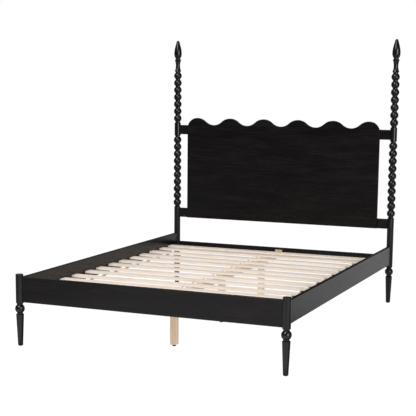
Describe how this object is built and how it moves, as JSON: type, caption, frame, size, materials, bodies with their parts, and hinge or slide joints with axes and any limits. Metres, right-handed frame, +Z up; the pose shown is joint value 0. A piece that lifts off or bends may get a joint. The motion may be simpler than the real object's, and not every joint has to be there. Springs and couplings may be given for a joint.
{
  "type": "platform bed",
  "caption": "Black wooden platform bed frame with turned bead posts, scalloped headboard panel, pale cross slats and a centre beam on legs with levelling feet.",
  "frame": {"origin": "on the floor, at the middle of the bed between its four posts", "axes": "+X to the right seen from the foot of the bed, +Y towards the headboard, +Z up"},
  "size_m": [1.6248, 2.1827, 1.7552],
  "materials": {
    "black_wood": "black satin lacquer over wood grain",
    "slat_wood": "planed and bare",
    "support_wood": "planed and clear sealed",
    "dowel_wood": "fluted and bare",
    "yellow_zinc": "yellow zinc plate",
    "steel": "bright zinc plate",
    "black_steel": "black oxide",
    "black_plastic": "moulded matt",
    "ribbon": "woven polyester tape"
  },
  "bodies": {
    "frame": {"head_post_left": "black_wood", "head_post_right": "black_wood", "finial_left": "black_wood", "finial_right": "black_wood", "foot_post_left": "black_wood", "foot_post_right": "black_wood", "side_rail_left": "black_wood", "side_rail_right": "black_wood", "ledger_left": "black_wood", "ledger_right": "black_wood", "foot_rail": "black_wood", "head_cross_rail": "black_wood", "headboard_lower_rail": "black_wood", "headboard_upper_rail": "black_wood", "headboard_panel": "black_wood", "slat_01": "slat_wood", "slat_02": "slat_wood", "slat_03": "slat_wood", "slat_04": "slat_wood", "slat_05": "slat_wood", "slat_06": "slat_wood", "slat_07": "slat_wood", "slat_08": "slat_wood", "slat_09": "slat_wood", "slat_10": "slat_wood", "slat_11": "slat_wood", "slat_12": "slat_wood", "slat_13": "slat_wood", "centre_beam": "support_wood", "support_leg_foot": "support_wood", "support_leg_middle": "support_wood", "support_leg_head": "support_wood", "beam_hanger_foot": "yellow_zinc", "beam_hanger_head": "yellow_zinc", "hanger_screws": "yellow_zinc", "leg_bolts": "steel", "leveller_inserts": "steel", "finial_screws": "steel", "rail_bolts": "steel", "rail_crescents": "steel", "rail_nuts": "steel", "panel_screws": "steel", "ledger_screws": "steel", "post_glides": "black_plastic", "slat_ribbons": "ribbon", "rail_dowels": "dowel_wood"},
    "pad_foot": {"leveller_pad_foot": "black_plastic"},
    "stud_foot": {"leveller_stud_foot": "black_steel"},
    "pad_middle": {"leveller_pad_middle": "black_plastic"},
    "stud_middle": {"leveller_stud_middle": "black_steel"},
    "pad_head": {"leveller_pad_head": "black_plastic"},
    "stud_head": {"leveller_stud_head": "black_steel"}
  },
  "joints": [
    {"name": "pad_slide_foot", "type": "slide", "parent": "frame", "child": "pad_foot", "axis": [0, 0, -1], "range_m": [0, 0.012]},
    {"name": "stud_turn_foot", "type": "hinge", "parent": "pad_foot", "child": "stud_foot", "pos_m": [0, -0.705, 0.006], "axis": [0, 0, -1], "range_deg": [0, 3450]},
    {"name": "pad_slide_middle", "type": "slide", "parent": "frame", "child": "pad_middle", "axis": [0, 0, -1], "range_m": [0, 0.012]},
    {"name": "stud_turn_middle", "type": "hinge", "parent": "pad_middle", "child": "stud_middle", "pos_m": [0, 0, 0.006], "axis": [0, 0, -1], "range_deg": [0, 3450]},
    {"name": "pad_slide_head", "type": "slide", "parent": "frame", "child": "pad_head", "axis": [0, 0, -1], "range_m": [0, 0.012]},
    {"name": "stud_turn_head", "type": "hinge", "parent": "pad_head", "child": "stud_head", "pos_m": [0, 0.705, 0.006], "axis": [0, 0, -1], "range_deg": [0, 3450]}
  ],
  "couplings": [
    {"joint": "pad_slide_foot", "follows": "stud_turn_foot", "m_per_rad": 0.00019894},
    {"joint": "pad_slide_middle", "follows": "stud_turn_middle", "m_per_rad": 0.00019894},
    {"joint": "pad_slide_head", "follows": "stud_turn_head", "m_per_rad": 0.00019894}
  ]
}
